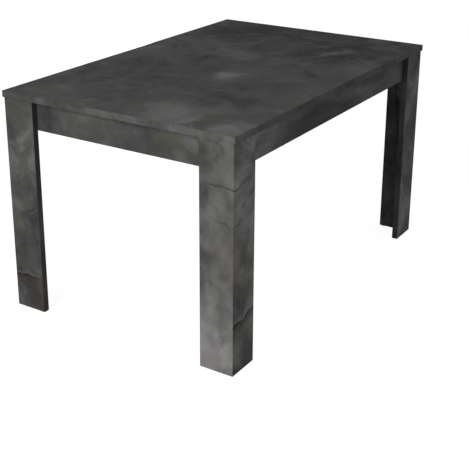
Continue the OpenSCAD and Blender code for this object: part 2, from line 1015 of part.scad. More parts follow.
// Shouldered screw that the hook turns on, with its head under the hook
module lock_pivot(play = 0) {
    head_z = lock_z - lock_gap / 2 - lock_head_h;
    translate([0, 0, head_z]) cylinder(d = lock_head_d, h = lock_head_h);
    translate([0, 0, head_z]) cylinder(d = lock_pivot_d, h = cross_rail_z - head_z);
    translate([0, 0, head_z])
        cylinder(d = lock_thread_d + 2 * play, h = cross_rail_z - head_z + lock_thread_l + play);
}

module lock_pivot_screws() {
    color("gainsboro")
        lock_places()
            difference() {
                lock_pivot();
                translate([0, 0, lock_z - lock_gap / 2 - lock_head_h])
                    rotate([180, 0, 0]) cross_recess(screw_recess, screw_recess_t);
            }
}

// Angle on the sliding apron, with the round pin that the hook catches
module lock_strikes() {
    color("silver")
        difference() {
            for (y = [-lock_y, lock_y]) {
                translate([bay_x - steel_t, y - strike_w / 2, strike_z])
                    cube([steel_t, strike_w, strike_h]);
                translate([bay_x - strike_reach, y - strike_w / 2, strike_z])
                    cube([strike_reach, strike_w, steel_t]);
                translate([lock_pin_x, y, lock_z])
                    cylinder(d = lock_pin_d, h = strike_z + steel_t - lock_z);
            }
            strike_screw_places() wood_screw(play = hole_play);
        }
}

module lock_strike_screws() {
    color("gainsboro") strike_screw_places() recessed_screw(screw_head_d, steel_t);
}

top_panel();
top_edge_band();
fixed_front_leg_end_board();
fixed_front_leg_side_board();
fixed_rear_leg_end_board();
fixed_rear_leg_side_board();
fixed_leg_edge_bands();
fixed_leg_dowels();
fixed_leg_glides();
fixed_leg_inserts();
fixed_leg_bolts();
fixed_end_apron();
front_apron();
rear_apron();
fixed_end_apron_edge_band();
long_apron_edge_bands();
cross_rail();
frame_angles();
frame_screws();
top_cams();
top_cam_bolts();
leaf_ledges();
leaf_ledge_screws();
leaf_pin_sockets();
slide_outer_members();
slide_outer_screws();
lock_pivot_screws();
sliding_front_leg_end_board();
sliding_front_leg_side_board();
sliding_rear_leg_end_board();
sliding_rear_leg_side_board();
sliding_leg_edge_bands();
sliding_leg_dowels();
sliding_leg_glides();
sliding_leg_inserts();
sliding_leg_bolts();
sliding_end_apron();
sliding_apron_edge_band();
front_runner();
rear_runner();
runner_bolts();
runner_barrel_nuts();
runner_tie();
runner_tie_screws();
slide_inner_members();
slide_inner_screws();
lock_strikes();
lock_strike_screws();
front_slide_middle_member();
rear_slide_middle_member();
front_outer_ball_cage();
rear_outer_ball_cage();
front_inner_ball_cage();
rear_inner_ball_cage();
leaf_panel();
leaf_edge_band();
leaf_pins();
front_lock_hook();
rear_lock_hook();
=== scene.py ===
import bmesh
import bpy
import json
import math
from functools import partial
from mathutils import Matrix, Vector


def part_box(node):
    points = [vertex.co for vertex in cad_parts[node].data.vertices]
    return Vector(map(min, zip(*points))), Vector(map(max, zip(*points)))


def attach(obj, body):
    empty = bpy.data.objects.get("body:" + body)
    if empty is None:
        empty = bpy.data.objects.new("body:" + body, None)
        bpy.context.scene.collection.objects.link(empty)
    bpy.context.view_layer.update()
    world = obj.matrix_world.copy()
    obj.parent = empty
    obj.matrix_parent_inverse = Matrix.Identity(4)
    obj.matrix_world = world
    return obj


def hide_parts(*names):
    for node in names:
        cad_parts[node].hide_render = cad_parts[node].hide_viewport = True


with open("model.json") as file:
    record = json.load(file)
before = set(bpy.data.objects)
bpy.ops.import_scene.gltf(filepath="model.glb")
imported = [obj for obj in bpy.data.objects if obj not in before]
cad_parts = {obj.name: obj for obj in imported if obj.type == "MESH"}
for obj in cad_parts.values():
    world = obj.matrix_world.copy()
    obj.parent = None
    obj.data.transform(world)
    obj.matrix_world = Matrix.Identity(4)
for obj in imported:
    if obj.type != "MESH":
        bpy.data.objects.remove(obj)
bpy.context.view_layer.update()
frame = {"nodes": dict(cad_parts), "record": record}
mm = 0.001
bodyOf = {node: body for body, nodes in frame["record"]["behaviour"]["bodies"].items() for node in nodes}
print("frame loaded:", len(frame["nodes"]), "nodes")


def linear(hexColour):
    parts = [int(hexColour[i:i + 2], 16) / 255 for i in (1, 3, 5)]
    return [p / 12.92 if p <= 0.04045 else ((p + 0.055) / 1.055) ** 2.4 for p in parts] + [1.0]


# Adds a node with its settings, values and links, and gives back one of its outputs, or the node where out is None.
# An input that is given a socket is linked to it
def addNode(tree, kind, inputs=None, out=0, **settings):
    node = tree.nodes.new(kind)
    for key, value in settings.items():
        setattr(node, key, value)
    for key, value in (inputs or {}).items():
        if isinstance(value, bpy.types.NodeSocket):
            tree.links.new(value, node.inputs[key])
        else:
            node.inputs[key].default_value = value
    return node if out is None else node.outputs[out]


# An empty material with its shader; the numbers given are set on the shader's own sockets
def startMaterial(name, **shaderInputs):
    material = bpy.data.materials.new(name)
    material.use_nodes = True
    tree = material.node_tree
    tree.nodes.clear()
    shader = addNode(tree, "ShaderNodeBsdfPrincipled", shaderInputs, None)
    addNode(tree, "ShaderNodeOutputMaterial", {"Surface": shader.outputs[0]}, None)
    return material, partial(addNode, tree), shader, tree.links


smooth = {"interpolation_type": "SMOOTHSTEP"}  # for a Map Range node, whose inputs are value, from, from, to, to
mixing = {"data_type": "RGBA", "out": 2}       # for a Mix node, whose inputs 0, 6 and 7 are amount, first, second

# Melamine, pressed matt on chipboard with a print of oxidised slate: smoky grey clouds, olive and rust tints,
# pale smears and wandering dark cracks. A layer is its size in mm, detail, roughness, distortion and weight, and a
# veil is its size, detail, roughness and distortion.
# The dots of the print are near 0.1 mm and are drawn at 2.4 mm, the finest that shows
slatePrint = {
    "deep": "#262626", "dark": "#383838", "mid": "#484847", "light": "#646463", "pale": "#807e7e",
    "olive": "#4b4f40", "rust": "#50443a", "burnt": "#2d2622", "crack": "#1f1813",
    "steps": ((0.28, "dark"), (0.5, "mid"), (0.76, "light")),  # between deep at 0 and pale at 1
    "cloud": (330, 3.0, 0.5, 1.0, 1.2), "smoke": (110, 4.5, 0.52, 0.9, 1.0), "blotch": (38, 4.0, 0.55, 0.6, 0.34),
    "mottle": (13, 3.0, 0.6, 0.0, 0.16), "dots": (2.4, 2.0, 0.5, 0.0, 0.1),
    "smearVeil": (190, 4.0, 0.55, 0.6), "tintVeil": (150, 3.0, 0.5, 0.5),
    "smearSpan": (0.58, 0.8), "oliveSpan": (0.5, 0.68), "rustSpan": (0.46, 0.32),  # where each fades in
    "farShift": 3.1,   # metres between the two places that the layers are cut from
    "spotBreak": 2.2,  # how far the smoke breaks the rim of a spot, as a share of its reach
    "roughness": 0.62, "mottleSpan": (0.3, 0.7), "mottleRoughness": (0.57, 0.69), "specular": 0.02,
    "dotRelief": 0.6, "reliefMm": 0.1, "reliefStrength": 0.3,
}
# A crack of width 1, its burnt shade and its pale rim
slateCrack = {
    "lineMm": 2.4, "shadeMm": 18, "rimMm": 12.6, "edgeMm": 2.5, "shade": 0.6, "rim": 0.4,
    "wander": (110, 5.0, 0.62), "reachMm": 80,  # size in mm, detail and roughness; how far off its height it goes
    "ownShift": 1 / 97,                         # metres for a mm of height, so each crack wanders in its own way
    "swell": (0.35, 0.62, 0.35, 1.5),           # two levels of the blotches, and how thick the line is at each
    "whole": 0.45,                              # share of its half length before it starts to fade out
}
legOut = [abs(side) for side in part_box("fixed_front_leg_end_board")[0][:2]]  # from the middle to the outer faces


# Draws a crack over the colour: its line wanders round its height, swells and thins, and fades out past its two ends
def crackOver(colour, crack, add, place, shift, height, around, blotch):
    s, c = slatePrint, slateCrack
    size, detail, roughness = c["wander"]
    moved = [v + crack["height"] * c["ownShift"] for v in shift]
    own = add("ShaderNodeMapping", {"Vector": place, "Location": moved})
    wander = add("ShaderNodeTexNoise", {"Vector": own, "Scale": 1 / (size * mm), "Detail": detail,
                                        "Roughness": roughness})
    base = add("ShaderNodeMath", {0: around, 1: -crack["climb"], 2: height}, operation="MULTIPLY_ADD")
    path = add("ShaderNodeMath", {0: wander, 1: c["reachMm"] * mm, 2: base}, operation="MULTIPLY_ADD")
    middle = (crack["height"] + c["reachMm"] / 2) * mm
    off = add("ShaderNodeMath", {0: path, 1: middle}, operation="SUBTRACT")
    low, high, thinnest, thickest = c["swell"]
    swell = add("ShaderNodeMapRange", {0: blotch, 1: low, 2: high, 3: thinnest, 4: thickest}, **smooth)
    start, end = (mm * v for v in crack["span"])
    beside = add("ShaderNodeMath", {0: around, 1: (start + end) / 2}, operation="SUBTRACT")
    beside = add("ShaderNodeMath", {0: beside}, operation="ABSOLUTE")
    half = (end - start) / 2
    ends = add("ShaderNodeMapRange", {0: beside, 1: half, 2: half * c["whole"], 3: 0.0, 4: 1.0}, **smooth)
    # dark shade gathers on one side of the line and a pale rim on the other
    side = crack["shadeSide"]
    for low, key, amount in ((-side * c["shadeMm"], "burnt", c["shade"]), (side * c["rimMm"], "light", c["rim"])):
        fade = add("ShaderNodeMapRange", {0: off, 1: low * crack["width"] * mm, 2: 0.0}, **smooth)
        cut = add("ShaderNodeMapRange", {0: off, 1: math.copysign(c["edgeMm"] * mm, -low), 2: 0.0}, **smooth)
        part = add("ShaderNodeMath", {0: fade, 1: cut}, operation="MULTIPLY")
        part = add("ShaderNodeMath", {0: part, 1: ends}, operation="MULTIPLY")
        part = add("ShaderNodeMath", {0: part, 1: amount * crack["strength"]}, operation="MULTIPLY")
        colour = add("ShaderNodeMix", {0: part, 6: colour, 7: linear(s[key])}, **mixing)
    thin = add("ShaderNodeMath", {0: off}, operation="ABSOLUTE")
    thin = add("ShaderNodeMath", {0: thin, 1: swell}, operation="DIVIDE")
    line = add("ShaderNodeMapRange", {0: thin, 1: c["lineMm"] * crack["width"] * mm, 2: 0.0, 3: 0.0,
                                      4: crack["strength"]}, **smooth)
    line = add("ShaderNodeMath", {0: line, 1: ends}, operation="MULTIPLY")
    return add("ShaderNodeMix", {0: line, 6: colour, 7: linear(s["crack"])}, **mixing)


# One cut of the print. A rise is two heights in mm and how much lighter it is at each; a spot is its place in
# metres, its reach in mm and how much lighter it is there; drawn stretches the pattern along an axis where it is
# under 1
def pressedMelamine(name, shift, tone=0.0, contrast=0.6, olive=0.2, rust=0.0, smears=0.3, cracks=(), rise=None,
                    spots=(), drawn=(1, 1, 1)):
    s = slatePrint
    material, add, shader, links = startMaterial(name, **{"Roughness": s["roughness"],
                                                          "Specular IOR Level": s["specular"]})
    place = add("ShaderNodeTexCoord", out="Object")
    near = add("ShaderNodeMapping", {"Vector": place, "Location": shift, "Scale": drawn})
    far = add("ShaderNodeMapping", {"Vector": place, "Location": [v + s["farShift"] for v in shift],
                                    "Scale": drawn})
    height = add("ShaderNodeSeparateXYZ", {0: place}, 2)
    layers = {}
    level = 0.5 + tone  # 0.5 is the middle of the shades
    for layer, vector in (("cloud", near), ("smoke", far), ("blotch", near), ("mottle", far), ("dots", near)):
        size, detail, roughness, distortion, weight = s[layer]
        layers[layer] = add("ShaderNodeTexNoise", {"Vector": vector, "Scale": 1 / (size * mm), "Detail": detail,
                                                   "Roughness": roughness, "Distortion": distortion})
        above = add("ShaderNodeMath", {0: layers[layer], 1: 0.5}, operation="SUBTRACT")
        level = add("ShaderNodeMath", {0: above, 1: weight * contrast, 2: level}, operation="MULTIPLY_ADD")
    if rise:
        low, high, atLow, atHigh = rise
        slope = add("ShaderNodeMapRange", {0: height, 1: low * mm, 2: high * mm, 3: atLow, 4: atHigh}, **smooth)
        level = add("ShaderNodeMath", {0: level, 1: slope}, operation="ADD")
    for *centre, reach, gain in spots:  # its rim is broken by the smoke
        apart = add("ShaderNodeVectorMath", {0: place, 1: centre}, "Value", operation="DISTANCE")
        above = add("ShaderNodeMath", {0: layers["smoke"], 1: 0.5}, operation="SUBTRACT")
        rim = add("ShaderNodeMath", {0: above, 1: s["spotBreak"] * reach * mm, 2: apart}, operation="MULTIPLY_ADD")
        patch = add("ShaderNodeMapRange", {0: rim, 1: reach * mm, 2: 0.0, 3: 0.0, 4: gain}, **smooth)
        level = add("ShaderNodeMath", {0: level, 1: patch}, operation="ADD")
    shades = add("ShaderNodeValToRGB", {0: level}, None)
    band = shades.color_ramp
    band.elements[0].position, band.elements[0].color = 0.0, linear(s["deep"])
    band.elements[1].position, band.elements[1].color = 1.0, linear(s["pale"])
    for position, key in s["steps"]:
        band.elements.new(position).color = linear(s[key])
    colour = shades.outputs[0]
    veils = {}
    for veil in ("smearVeil", "tintVeil"):
        size, detail, roughness, distortion = s[veil]
        veils[veil] = add("ShaderNodeTexNoise", {"Vector": far, "Scale": 1 / (size * mm), "Detail": detail,
                                                 "Roughness": roughness, "Distortion": distortion})
    for veil, span, key, amount in (("smearVeil", "smearSpan", "light", smears),
                                    ("tintVeil", "oliveSpan", "olive", olive),
                                    ("tintVeil", "rustSpan", "rust", rust)):
        low, high = s[span]
        part = add("ShaderNodeMapRange", {0: veils[veil], 1: low, 2: high, 3: 0.0, 4: amount}, **smooth)
        colour = add("ShaderNodeMix", {0: part, 6: colour, 7: linear(s[key])}, **mixing)
    if cracks:  # measured along either outer face of a leg, from its corner
        around = add("ShaderNodeVectorMath", {0: place}, operation="ABSOLUTE")
        around = add("ShaderNodeVectorMath", {0: around, 1: (1, 1, 0)}, "Value", operation="DOT_PRODUCT")
        around = add("ShaderNodeMath", {0: sum(legOut), 1: around}, operation="SUBTRACT")
    for crack in cracks:
        colour = crackOver(colour, crack, add, place, shift, height, around, layers["blotch"])
    links.new(colour, shader.inputs["Base Color"])
    low, high = s["mottleSpan"]
    smoothest, roughest = s["mottleRoughness"]
    matt = add("ShaderNodeMapRange", {0: layers["mottle"], 1: low, 2: high, 3: smoothest, 4: roughest}, **smooth)
    links.new(matt, shader.inputs["Roughness"])
    relief = add("ShaderNodeMath", {0: layers["dots"], 1: s["dotRelief"], 2: layers["mottle"]},
                 operation="MULTIPLY_ADD")
    links.new(add("ShaderNodeBump", {"Height": relief, "Distance": s["reliefMm"] * mm,
                                     "Strength": s["reliefStrength"]}), shader.inputs["Normal"])
    return material


# The cuts of the print for the top, the leaf, the aprons and the bands; the faces of the legs have their own below
slateCuts = {
    "top": {"shift": (0.2, 0.9, 0.0), "tone": -0.09, "contrast": 0.48, "olive": 0.05,
            "spots": ((-0.12, -0.07, 0.78, 100, 0.36), (-0.59, -0.17, 0.78, 210, 0.27),
                      (0.35, 0.05, 0.78, 160, 0.12), (-0.3, 0.3, 0.78, 220, -0.12), (0.7, 0.0, 0.78, 700, -0.26),
                      (-0.63, -0.41, 0.78, 160, 0.38), (-0.38, -0.2, 0.78, 150, -0.14),
                      (-0.2, -0.43, 0.78, 150, 0.12), (0.2, -0.43, 0.78, 150, 0.12),
                      (0.42, -0.27, 0.78, 200, -0.24))},
    "leaf": {"shift": (2.2, 1.9, 0.4), "tone": -0.1, "contrast": 0.5, "olive": 0.05},
    # The end apron is painted lighter towards its top, painted light against the shade under the top's overhang
    "end_apron": {"shift": (5.0, 0.0, 1.0), "tone": -0.07, "contrast": 0.62, "olive": 0.7, "smears": 0.5,
                  # its dark spot is painted shade in the corner by the fixed rear leg
                  "drawn": (1, 0.8, 1), "rise": (690, 765, 0.0, 0.1), "spots": ((-0.66, 0.29, 0.71, 70, -0.26),)},
    "long_apron": {"shift": (0.7, 4.0, 1.0), "tone": -0.2, "contrast": 0.9, "olive": 0.0, "drawn": (0.4, 1, 1),
                   "spots": ((-0.55, -0.43, 0.71, 330, 0.3),)},
    "end_band": {"shift": (1.7, 0.4, 2.0), "tone": -0.05, "contrast": 0.8, "olive": 0.4,
                 "spots": ((-0.69, -0.43, 0.77, 150, 0.2),)},
    "side_band": {"shift": (0.4, 1.4, 2.0), "tone": -0.14, "contrast": 0.6, "olive": 0.1},
    # the leg bands are painted darker than the boards, painted shade on their free edges
    "edge_band": {"shift": (0.9, 0.2, 0.1), "tone": -0.3, "contrast": 0.6, "olive": 0.1},
}
slate = {cut: pressedMelamine("melamine_pressed_matt_" + cut, **look) for cut, look in slateCuts.items()}

# The cracks of the legs: height in mm at the corner of the leg, climb as a share of the way from it, where the crack
# starts and ends along that way in mm, strength, width, and the side of its shade, 1 for below and -1 for above
crackRows = {
    "highNear": (610, 0.12, (-60, 110), 0.65, 1.0, -1),
    "lowNear": (505, 0.16, (-90, 90), 0.4, 1.0, 1),
    "footNear": (166, 0.24, (-60, 190), 1.0, 2.5, 1),
    "footFar": (128, 0.05, (-70, 125), 1.0, 1.8, 1),
    "kneeFar": (330, 0.5, (55, 125), 0.55, 1.2, -1),
    "middle": (430, 0.2, (-50, 120), 0.4, 1.0, 1),
    "shin": (290, -0.2, (-40, 130), 0.5, 1.2, 1),
}
crackWords = ("height", "climb", "span", "strength", "width", "shadeSide")
legCracks = {crack: dict(zip(crackWords, row)) for crack, row in crackRows.items()}
# Each leg has its own place in the print, and each of its two faces its own tone, contrast, rise, spots and cracks
legPrint = {"contrast": 0.95, "smears": 0.25}  # a face may have a contrast of its own
legLooks = {
    "fixed_front": {"shift": (0.0, 0.0, 0.0), "olive": 0.38, "rust": 0.2,
                    "end": {"tone": 0.04, "contrast": 0.75, "rise": (20, 520, 0.35, 0.0),
                            "cracks": ("highNear", "lowNear"),
                            "spots": ((-0.685, -0.39, 0.72, 150, 0.14), (-0.685, -0.325, 0.7, 70, -0.24),
                                      (-0.685, -0.325, 0.58, 60, -0.16))},
                    "side": {"tone": 0.02, "rise": (60, 440, -0.2, 0.0),
                             "cracks": ("highNear", "lowNear", "footNear")}},
    "fixed_rear": {"shift": (1.3, 0.4, 0.6), "olive": 0.38, "rust": 0.5,
                   "end": {"tone": -0.07, "rise": (80, 500, -0.08, 0.0), "cracks": ("footFar", "kneeFar"),
                           "spots": ((-0.682, 0.384, 0.68, 130, -0.16),)},
                   "side": {"tone": -0.04, "cracks": ("footFar",)}},
    "sliding_front": {"shift": (0.5, 2.1, 1.7), "olive": 0.1, "rust": 0.0,
                      # its end board is painted darker, painted shade for its inner face under the table
                      "end": {"tone": -0.22, "contrast": 1.2, "cracks": ("middle",)},
                      "side": {"tone": -0.05, "rise": (60, 400, 0.06, 0.0), "cracks": ("middle",)}},
    "sliding_rear": {"shift": (2.9, 1.2, 0.3), "olive": 0.3, "rust": 0.3,
                     "end": {"tone": -0.02, "cracks": ("shin",)},
                     "side": {"tone": -0.02, "cracks": ("shin", "highNear")}},
}
legSlate = {}
for corner, look in legLooks.items():
    for face in ("end", "side"):
        own = look[face]
        legSlate[corner, face] = pressedMelamine(
            f"melamine_pressed_matt_{corner}_leg_{face}", look["shift"], own["tone"],
            own.get("contrast", legPrint["contrast"]), look["olive"], look["rust"], legPrint["smears"],
            [legCracks[crack] for crack in own["cracks"]], own.get("rise"), own.get("spots", ()))
print("melamine cuts made:", len(slate) + len(legSlate))


# Chipboard, pressed from glued chips: pale flakes with dark glue between, seen only where an end is left bare
chipboard = {"flakePale": "#c9a97c", "flakeDark": "#8a6a47", "glue": "#5d442b", "flakeMm": 2.6, "glueMm": 1.6,
             "glueUpTo": 0.38, "flakeFrom": 0.5, "roughness": 0.85, "reliefMm": 0.3}


def pressedChipboard(name):
    material, add, shader, links = startMaterial(name, Roughness=chipboard["roughness"])
    place = add("ShaderNodeTexCoord", out="Object")
    flakes = add("ShaderNodeTexVoronoi", {"Vector": place, "Scale": 1 / (chipboard["flakeMm"] * mm)}, "Color")
    tone = add("ShaderNodeSeparateColor", {0: flakes})
    colour = add("ShaderNodeMix", {0: tone, 6: linear(chipboard["flakeDark"]), 7: linear(chipboard["flakePale"])},
                 **mixing)
    glue = add("ShaderNodeTexNoise", {"Vector": place, "Scale": 1 / (chipboard["glueMm"] * mm)})
    part = add("ShaderNodeMapRange", {0: glue, 1: chipboard["glueUpTo"], 2: chipboard["flakeFrom"]}, **smooth)
    colour = add("ShaderNodeMix", {0: part, 6: linear(chipboard["glue"]), 7: colour}, **mixing)
    links.new(colour, shader.inputs["Base Color"])
    links.new(add("ShaderNodeBump", {"Height": tone, "Distance": chipboard["reliefMm"] * mm, "Strength": 0.5}),
              shader.inputs["Normal"])
    return material


# Planed wood: the rings are drawn out along the piece into long figures, with fine dark pores between them
woods = {
    "pine_planed": {"pale": "#d9b785", "dark": "#b98d57", "ringMm": 26, "drawn": (0.05, 1, 1)},
    "pine_planed_across": {"pale": "#d9b785", "dark": "#b98d57", "ringMm": 26, "drawn": (1, 0.05, 1)},
    "beech_turned": {"pale": "#c9a173", "dark": "#b0855a", "ringMm": 12, "drawn": (0.05, 1, 1)},
}
woodFigure = {"poreColour": "#6f5133", "poreMm": 1.1, "poreSpan": (0.6, 0.75), "pores": 0.4,
              "ringsPerNoise": 7.0, "early": 0.15, "late": 0.95, "roughness": 0.6, "reliefMm": 0.08}


def planedWood(name, pale, dark, ringMm, drawn):
    material, add, shader, links = startMaterial(name, Roughness=woodFigure["roughness"])
    place = add("ShaderNodeTexCoord", out="Object")
    place = add("ShaderNodeMapping", {"Vector": place, "Location": (0.3, 0.1, 0.2), "Scale": drawn})
    rings = add("ShaderNodeTexNoise", {"Vector": place, "Scale": 1 / (ringMm * mm), "Detail": 3.0,
                                       "Distortion": 0.9})
    rings = add("ShaderNodeMath", {0: rings, 1: woodFigure["ringsPerNoise"]}, operation="MULTIPLY")
    rings = add("ShaderNodeMath", {0: rings}, operation="FRACT")
    part = add("ShaderNodeMapRange", {0: rings, 1: woodFigure["early"], 2: woodFigure["late"]}, **smooth)
    colour = add("ShaderNodeMix", {0: part, 6: linear(pale), 7: linear(dark)}, **mixing)
    pores = add("ShaderNodeTexNoise", {"Vector": place, "Scale": 1 / (woodFigure["poreMm"] * mm),
                                       "Roughness": 0.6})
    low, high = woodFigure["poreSpan"]
    part = add("ShaderNodeMapRange", {0: pores, 1: low, 2: high, 3: 0.0, 4: woodFigure["pores"]}, **smooth)
    colour = add("ShaderNodeMix", {0: part, 6: colour, 7: linear(woodFigure["poreColour"])}, **mixing)
    links.new(colour, shader.inputs["Base Color"])
    links.new(add("ShaderNodeBump", {"Height": pores, "Distance": woodFigure["reliefMm"] * mm, "Strength": 0.5}),
              shader.inputs["Normal"])
    return material


# Metals. Zinc plate and galvanised sheet are bright under a soft cloudy skin that dulls them in patches; pressed
# cages are darker; die cast zinc is grey and rough; turned brass is a soft yellow
metalSkin = {"detail": 4.0, "coarse": 0.6, "cloudSpan": (0.35, 0.65), "dull": 0.8, "finePerCloud": 8,
             "fineSpan": (0.3, 0.7), "smoothest": 0.92, "roughest": 1.12}
metals = {
    "steel_zinc_plated": {"colour": "#c9c6bb", "roughness": 0.32, "cloudMm": 9, "drawn": (1, 1, 1)},
    "steel_galvanised_rolled": {"colour": "#979b9e", "roughness": 0.38, "cloudMm": 24, "drawn": (0.2, 1, 1)},
    "steel_pressed_bright": {"colour": "#8f9192", "roughness": 0.25, "cloudMm": 8, "drawn": (1, 1, 1)},
    "zinc_die_cast": {"colour": "#a9a9a6", "roughness": 0.45, "cloudMm": 5, "drawn": (1, 1, 1)},
    "brass_turned": {"colour": "#c9a45a", "roughness": 0.3, "cloudMm": 5, "drawn": (1, 1, 1)},
}


def cloudyMetal(name, colour, roughness, cloudMm, drawn):
    material, add, shader, links = startMaterial(name, Metallic=1.0, Roughness=roughness)
    place = add("ShaderNodeTexCoord", out="Object")
    place = add("ShaderNodeMapping", {"Vector": place, "Scale": drawn})
    clouds = add("ShaderNodeTexNoise", {"Vector": place, "Scale": 1 / (cloudMm * mm), "Detail": metalSkin["detail"],
                                        "Roughness": metalSkin["coarse"]})
    low, high = metalSkin["cloudSpan"]
    part = add("ShaderNodeMapRange", {0: clouds, 1: low, 2: high}, **smooth)
    dull = [c * metalSkin["dull"] for c in linear(colour)[:3]] + [1.0]
    links.new(add("ShaderNodeMix", {0: part, 6: dull, 7: linear(colour)}, **mixing), shader.inputs["Base Color"])
    fine = add("ShaderNodeTexNoise", {"Vector": place, "Scale": metalSkin["finePerCloud"] / (cloudMm * mm)})
    low, high = metalSkin["fineSpan"]
    part = add("ShaderNodeMapRange", {0: fine, 1: low, 2: high, 3: roughness * metalSkin["smoothest"],
                                      4: roughness * metalSkin["roughest"]}, **smooth)
    links.new(part, shader.inputs["Roughness"])
    return material


# Nylon, moulded: near black with a slight sheen and the fine texture of its mould
nylonLook = {"dark": "#1b1b1c", "pale": "#262627", "cloudMm": 6, "cloudSpan": (0.35, 0.7), "textureMm": 0.8,
             "roughness": 0.42, "reliefMm": 0.05}


def mouldedNylon(name):
    material, add, shader, links = startMaterial(name, Roughness=nylonLook["roughness"])
    place = add("ShaderNodeTexCoord", out="Object")
    clouds = add("ShaderNodeTexNoise", {"Vector": place, "Scale": 1 / (nylonLook["cloudMm"] * mm)})
    low, high = nylonLook["cloudSpan"]
    part = add("ShaderNodeMapRange", {0: clouds, 1: low, 2: high}, **smooth)
    colour = add("ShaderNodeMix", {0: part, 6: linear(nylonLook["dark"]), 7: linear(nylonLook["pale"])}, **mixing)
    links.new(colour, shader.inputs["Base Color"])
    texture = add("ShaderNodeTexNoise", {"Vector": place, "Scale": 1 / (nylonLook["textureMm"] * mm)})
    links.new(add("ShaderNodeBump", {"Height": texture, "Distance": nylonLook["reliefMm"] * mm, "Strength": 0.4}),
              shader.inputs["Normal"])
    return material


bareChipboard = pressedChipboard("chipboard_pressed")
nylon = mouldedNylon("nylon_moulded_black")
wood = {name: planedWood(name, **look) for name, look in woods.items()}
metal = {name: cloudyMetal(name, **look) for name, look in metals.items()}
zincPlate = metal["steel_zinc_plated"]
print("other finishes made:", 2 + len(wood) + len(metal))


boardEdges = {
    "arris": 0.6 * mm, "bandedArris": 0.12 * mm, "mitreArris": 0.25 * mm, "woodArris": 1.2 * mm, "steps": 2,
    "shortest": 14 * mm, "sharpDeg": 30,  # a shorter or flatter edge is left as it is
    "seam": 0.2 * mm,                     # an edge as near as this to a neighbour is glued to it
    "facing": 0.7,                        # a face looks along an axis when its normal has this much of it
}
meshMerge = {"weld": 0.004 * mm, "flatDeg": 0.5}


# A copy of a node's mesh with its loose triangles merged and its flat faces whole again
def mergedMesh(node):
    bm = bmesh.new()
    bm.from_mesh(frame["nodes"][node].data)
    bmesh.ops.remove_doubles(bm, verts=bm.verts, dist=meshMerge["weld"])
    bmesh.ops.dissolve_limit(bm, angle_limit=math.radians(meshMerge["flatDeg"]), verts=bm.verts, edges=bm.edges)
    return bm


# The lowest and highest corner of each solid of a node, and its points
def islandBoxes(node):
    bm = mergedMesh(node)
    boxes, seen = [], set()
    for start in bm.verts:
        if start in seen:
            continue
        group, stack = [], [start]
        seen.add(start)
        while stack:
            vert = stack.pop()
            group.append(vert.co.copy())
            for edge in vert.link_edges:
                other = edge.other_vert(vert)
                if other not in seen:
                    seen.add(other)
                    stack.append(other)
        low = Vector(min(p[i] for p in group) for i in range(3))
        high = Vector(max(p[i] for p in group) for i in range(3))
        boxes.append((low, high, group))
    bm.free()
    return boxes


def placePiece(mesh, node):
    piece = bpy.data.objects.new(mesh.name, mesh)
    bpy.context.scene.collection.objects.link(piece)
    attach(piece, bodyOf[node])
    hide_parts(node)
    return piece


# A board that stands for its node: its long outer edges are eased, but not those along a glued seam. Faces that look
# along secondAxis take the second material, and a ring of bands is eased only round its outside
def easedBoard(node, skin, neighbours=(), secondAxis=None, arris=boardEdges["arris"], second=bareChipboard,
               ring=False):
    bm = mergedMesh(node)
    seams = [box for other in neighbours for box in islandBoxes(other)]
    slack = boardEdges["seam"]
    low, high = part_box(node)
    edges = []
    for edge in bm.edges:
        middle = (edge.verts[0].co + edge.verts[1].co) / 2
        glued = any(all(a[i] - slack < middle[i] < b[i] + slack for i in range(3)) for a, b, _ in seams)
        outer = not ring or any(abs(middle[i] - end[i]) < slack for i in (0, 1) for end in (low, high))
        if (edge.calc_length() > boardEdges["shortest"] and len(edge.link_faces) == 2
                and edge.calc_face_angle(0) > math.radians(boardEdges["sharpDeg"]) and outer and not glued):
            edges.append(edge)
    bmesh.ops.bevel(bm, geom=edges, offset=arris, segments=boardEdges["steps"], profile=0.5, affect="EDGES",
                    clamp_overlap=False)
    if secondAxis is not None:
        for face in bm.faces:
            face.material_index = 1 if abs(face.normal[secondAxis]) > boardEdges["facing"] else 0
    bmesh.ops.recalc_face_normals(bm, faces=bm.faces)
    mesh = bpy.data.meshes.new(node + "_eased")
    bm.to_mesh(mesh)
    bm.free()
    mesh.materials.append(skin)
    mesh.materials.append(second)
    return placePiece(mesh, node)


for (corner, face), skin in legSlate.items():
    bands = corner.split("_")[0] + "_leg_edge_bands"
    easedBoard(f"{corner}_leg_{face}_board", skin, [bands], 2, boardEdges["mitreArris"])  # bare at top and foot
for board in ("top", "leaf"):
    easedBoard(board + "_panel", slate[board], [board + "_edge_band"], arris=boardEdges["bandedArris"])
    easedBoard(board + "_edge_band", slate["end_band"], secondAxis=1, second=slate["side_band"], ring=True)
easedBoard("fixed_end_apron", slate["end_apron"], ["fixed_end_apron_edge_band"], 1)
easedBoard("sliding_end_apron", slate["end_apron"], ["sliding_apron_edge_band"], 1)
for node in ("front_apron", "rear_apron"):
    easedBoard(node, slate["long_apron"], ["long_apron_edge_bands"], 0)
for node in ("cross_rail", "runner_tie"):
    easedBoard(node, wood["pine_planed_across"], arris=boardEdges["woodArris"])
for node in ("front_runner", "rear_runner"):
    easedBoard(node, wood["pine_planed"], arris=boardEdges["woodArris"])
print("boards eased")


def geometryTree(name, sizes):
    tree = bpy.data.node_groups.new(name, "GeometryNodeTree")
    tree.interface.new_socket("Geometry", in_out="INPUT", socket_type="NodeSocketGeometry")
    tree.interface.new_socket("Geometry", in_out="OUTPUT", socket_type="NodeSocketGeometry")
    for size in sizes:
        tree.interface.new_socket(size, in_out="INPUT", socket_type="NodeSocketFloat")
    return tree, partial(addNode, tree), addNode(tree, "NodeGroupInput", out=None).outputs


